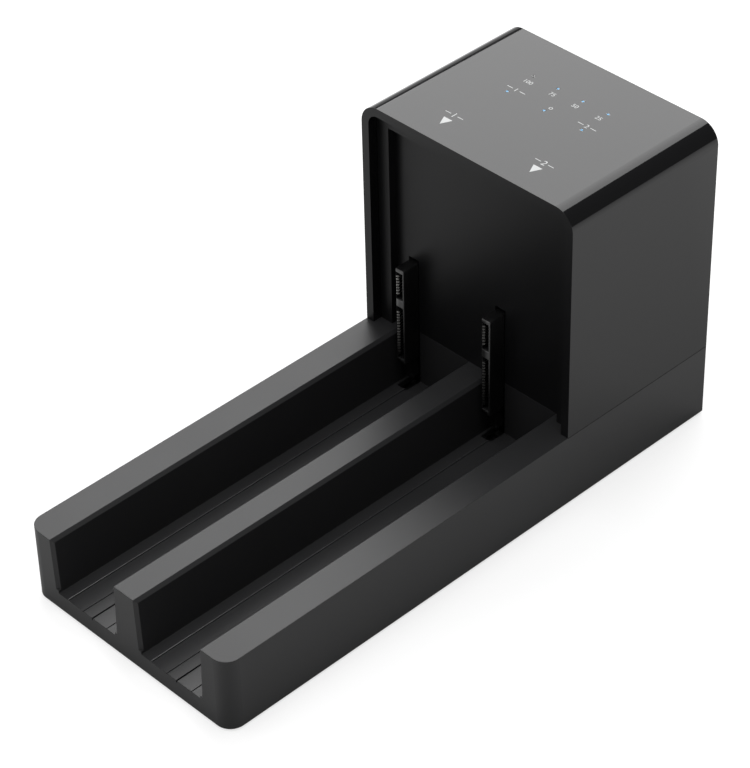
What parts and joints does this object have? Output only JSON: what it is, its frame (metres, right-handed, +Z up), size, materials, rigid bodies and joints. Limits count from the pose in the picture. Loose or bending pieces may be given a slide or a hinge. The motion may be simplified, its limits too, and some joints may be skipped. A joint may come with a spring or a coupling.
{
  "type": "hard drive docking station",
  "caption": "docking station with a long low base, open channels that hold drives on edge, and a glossy tower with upright drive connectors",
  "frame": {"origin": "on the table, under the middle of the box that bounds the whole object", "axes": "+Z up, +Y from the open channels to the tower's rear, +X to the right as seen from the front"},
  "size_m": [0.1, 0.2378, 0.125],
  "materials": {
    "base_plastic": "satin",
    "hood_plastic": "gloss",
    "panel_plastic": "matte",
    "foot_rubber": "matte",
    "black_steel": "satin",
    "zinc_steel": "satin",
    "board_green": "satin",
    "chip_black": "matte",
    "can_metal": "satin",
    "port_steel": "satin",
    "contact_gold": "gloss",
    "socket_black": "satin",
    "port_blue": "satin",
    "switch_black": "satin",
    "wire_red": "satin",
    "lamp_white": "satin",
    "guide_clear": "gloss",
    "ribbon_white": "satin"
  },
  "bodies": {
    "housing": {"base_tray": "base_plastic", "bottom_cover": "base_plastic", "tower_hood": "hood_plastic", "front_panel": "panel_plastic", "rear_panel": "panel_plastic", "foot_front_left": "foot_rubber", "foot_front_right": "foot_rubber", "foot_rear_left": "foot_rubber", "foot_rear_right": "foot_rubber", "cover_screws": "black_steel", "rear_panel_screws": "black_steel", "hood_screws": "zinc_steel", "front_panel_screws": "zinc_steel", "main_board_screws": "zinc_steel", "rear_board_screws": "zinc_steel", "lamp_board_screws": "zinc_steel", "main_board": "board_green", "rear_board": "board_green", "lamp_board": "board_green", "control_chip": "chip_black", "bridge_chips": "chip_black", "flash_chip": "chip_black", "power_coils": "chip_black", "crystals": "can_metal", "capacitors": "can_metal", "data_port_shell": "port_steel", "power_inlet_pin": "port_steel", "power_switch_terminals": "port_steel", "sata_contacts_left": "contact_gold", "sata_contacts_right": "contact_gold", "link_pins": "contact_gold", "sata_connector_left": "socket_black", "sata_connector_right": "socket_black", "power_inlet": "socket_black", "link_header": "socket_black", "link_socket": "socket_black", "clone_switch": "socket_black", "light_baffle": "socket_black", "data_port_core": "port_blue", "power_switch_body": "switch_black", "switch_wires": "wire_red", "lamps": "lamp_white", "light_guides": "guide_clear", "ribbon_cable": "ribbon_white", "main_ribbon_socket": "ribbon_white", "lamp_ribbon_socket": "ribbon_white"},
    "rocker": {"power_rocker": "switch_black"},
    "button": {"clone_button": "switch_black"}
  },
  "joints": [
    {"name": "rocker_tilt", "type": "hinge", "parent": "housing", "child": "rocker", "pos_m": [0.03, 0.1131, 0.0163], "axis": [0, 0, 1], "range_deg": [-22, 0]},
    {"name": "button_press", "type": "slide", "parent": "housing", "child": "button", "axis": [0, -1, 0], "range_m": [0, 0.0008], "stiffness_N_per_m": 1500}
  ]
}
